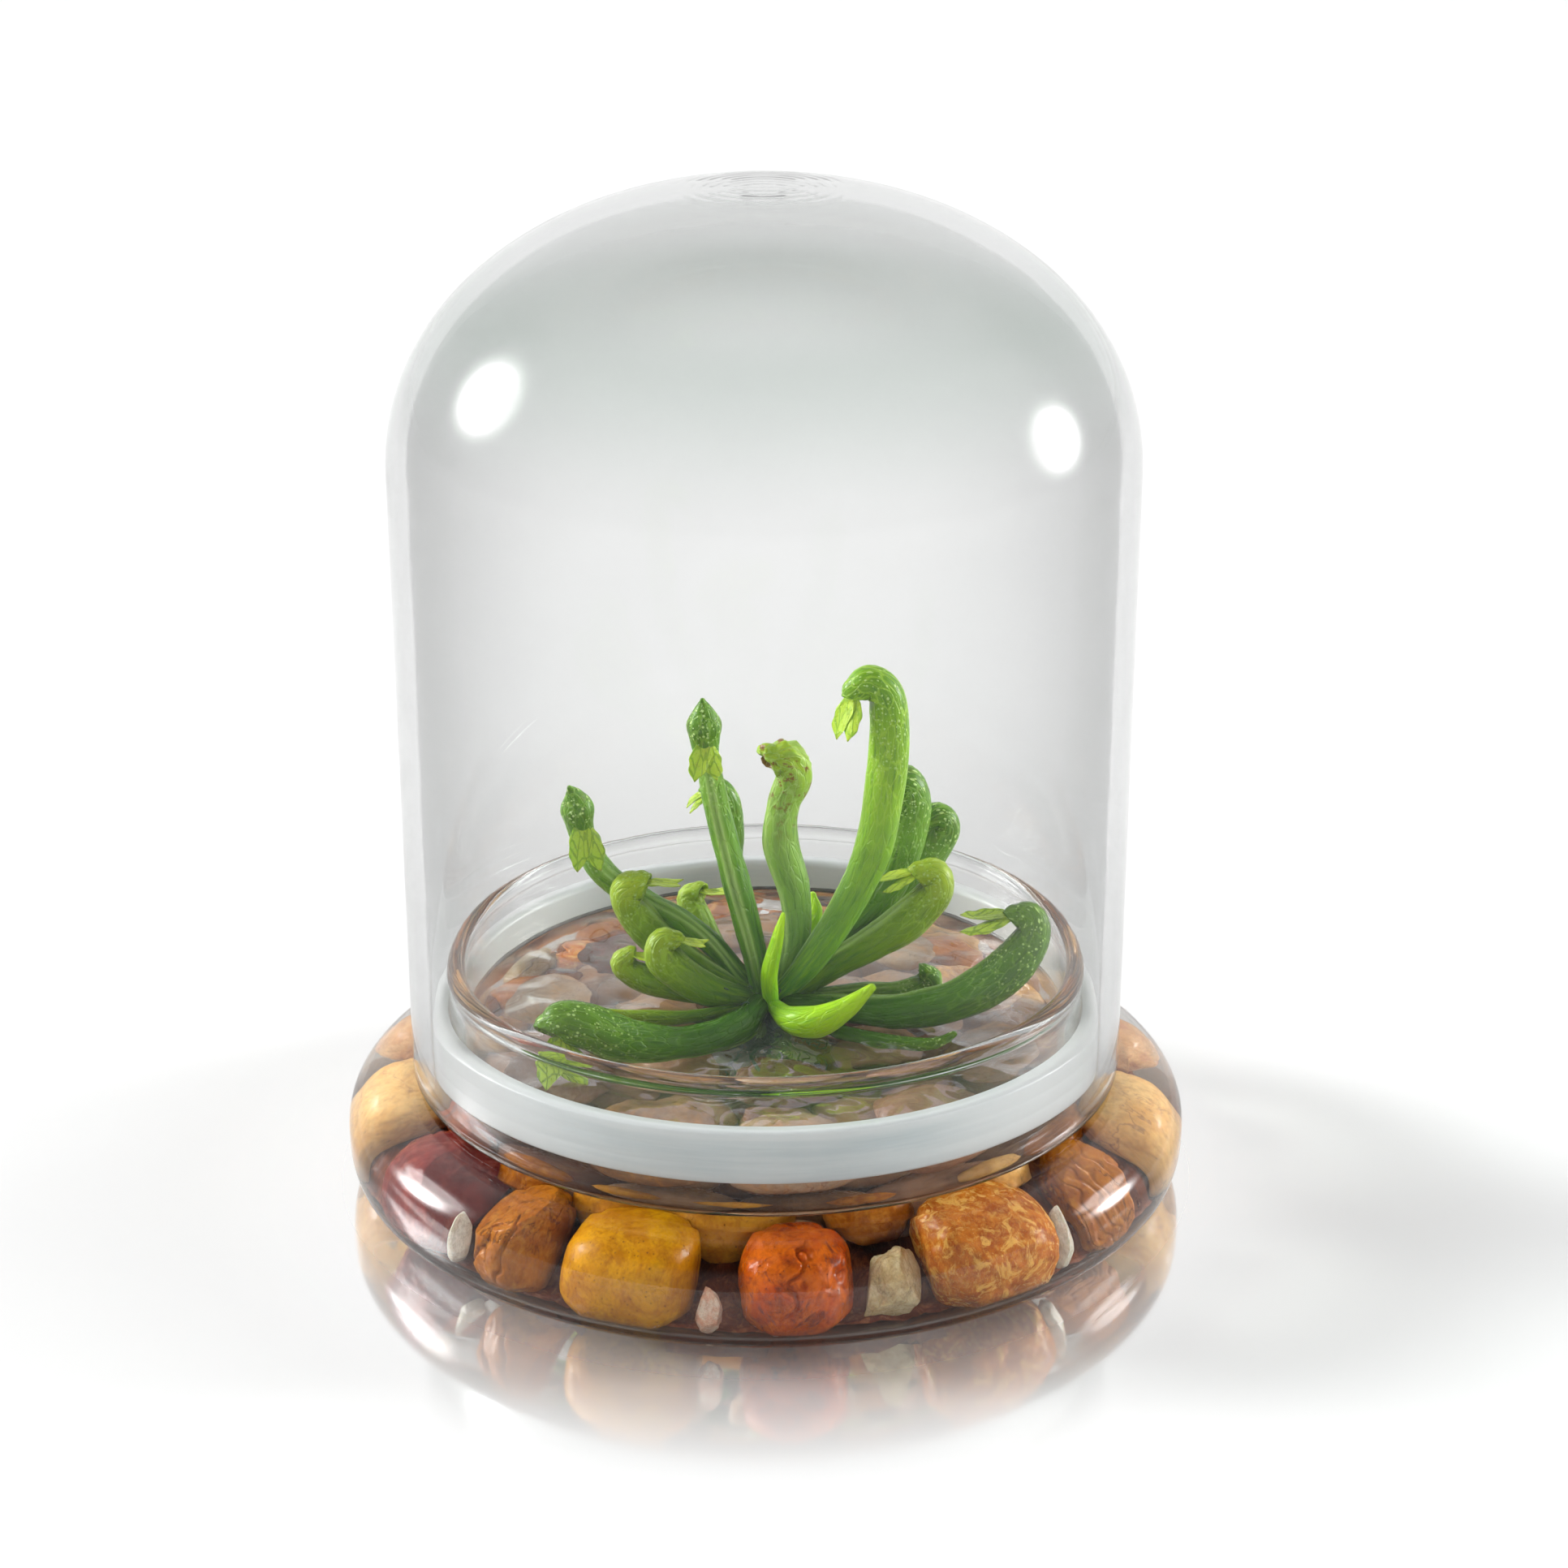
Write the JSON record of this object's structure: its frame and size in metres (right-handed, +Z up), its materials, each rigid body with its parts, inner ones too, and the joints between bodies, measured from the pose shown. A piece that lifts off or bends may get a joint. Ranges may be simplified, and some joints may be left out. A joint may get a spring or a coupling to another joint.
{
  "type": "pitcher plant in a terrarium",
  "caption": "Cobra-lily pitcher plant rooted in wet pebbles in a squat round glass bowl, covered by a clear bell-shaped glass dome that lifts off.",
  "frame": {"origin": "centre of the bowl's flat underside, on the table", "axes": "+Z up along the dome's axis, -Y towards the front, +X to the front viewer's right"},
  "size_m": [0.1306, 0.1306, 0.1544],
  "materials": {
    "clear_glass": "polished",
    "milky_silicone": "satin",
    "water": "gloss",
    "rhizome_and_roots": "matte",
    "pitcher_green": "satin",
    "young_leaf_green": "satin",
    "ochre_pebble": "gloss",
    "orange_pebble": "gloss",
    "mottled_pebble": "gloss",
    "brown_pebble": "gloss",
    "tan_pebble": "gloss",
    "burgundy_pebble": "gloss",
    "cream_pebble": "satin"
  },
  "bodies": {
    "base": {"glass_bowl": "clear_glass", "seal_ring": "milky_silicone", "water": "water", "pebble_bed": "brown_pebble", "outer_pebble_1": "ochre_pebble", "outer_pebble_2": "orange_pebble", "outer_pebble_3": "mottled_pebble", "outer_pebble_4": "brown_pebble", "outer_pebble_5": "tan_pebble", "outer_pebble_6": "orange_pebble", "outer_pebble_7": "brown_pebble", "outer_pebble_8": "tan_pebble", "outer_pebble_9": "ochre_pebble", "outer_pebble_10": "mottled_pebble", "outer_pebble_11": "brown_pebble", "outer_pebble_12": "cream_pebble", "outer_pebble_13": "orange_pebble", "outer_pebble_14": "tan_pebble", "outer_pebble_15": "burgundy_pebble", "outer_pebble_16": "brown_pebble", "upper_pebble_1": "brown_pebble", "upper_pebble_2": "tan_pebble", "upper_pebble_3": "orange_pebble", "upper_pebble_4": "brown_pebble", "upper_pebble_5": "mottled_pebble", "upper_pebble_6": "tan_pebble", "upper_pebble_7": "brown_pebble", "upper_pebble_8": "burgundy_pebble", "upper_pebble_9": "tan_pebble", "upper_pebble_10": "orange_pebble", "chip_1": "cream_pebble", "chip_2": "cream_pebble", "chip_3": "cream_pebble", "chip_4": "cream_pebble", "rhizome": "rhizome_and_roots", "pitcher_tall_right": "pitcher_green", "pitcher_behind_tall_right": "pitcher_green", "pitcher_right": "pitcher_green", "pitcher_low_right": "pitcher_green", "pitcher_far_right": "pitcher_green", "pitcher_centre": "pitcher_green", "pitcher_tall_left": "pitcher_green", "pitcher_behind_tall_left": "pitcher_green", "pitcher_far_left": "pitcher_green", "pitcher_left": "pitcher_green", "pitcher_low_left": "pitcher_green", "pitcher_small_left": "pitcher_green", "pitcher_back_left": "pitcher_green", "pitcher_front_left": "pitcher_green", "young_leaf_front": "young_leaf_green", "young_leaf_upright": "young_leaf_green", "pitcher_small_right": "pitcher_green", "leaf_floating_right": "pitcher_green", "leaf_floating_left": "pitcher_green", "young_leaf_back": "young_leaf_green", "root_left": "rhizome_and_roots", "root_front": "rhizome_and_roots", "root_right": "rhizome_and_roots"},
    "dome": {"glass_dome": "clear_glass"}
  },
  "joints": [
    {"name": "dome_lift", "type": "slide", "parent": "base", "child": "dome", "axis": [0, 0, 1], "range_m": [0, 0.09]}
  ]
}
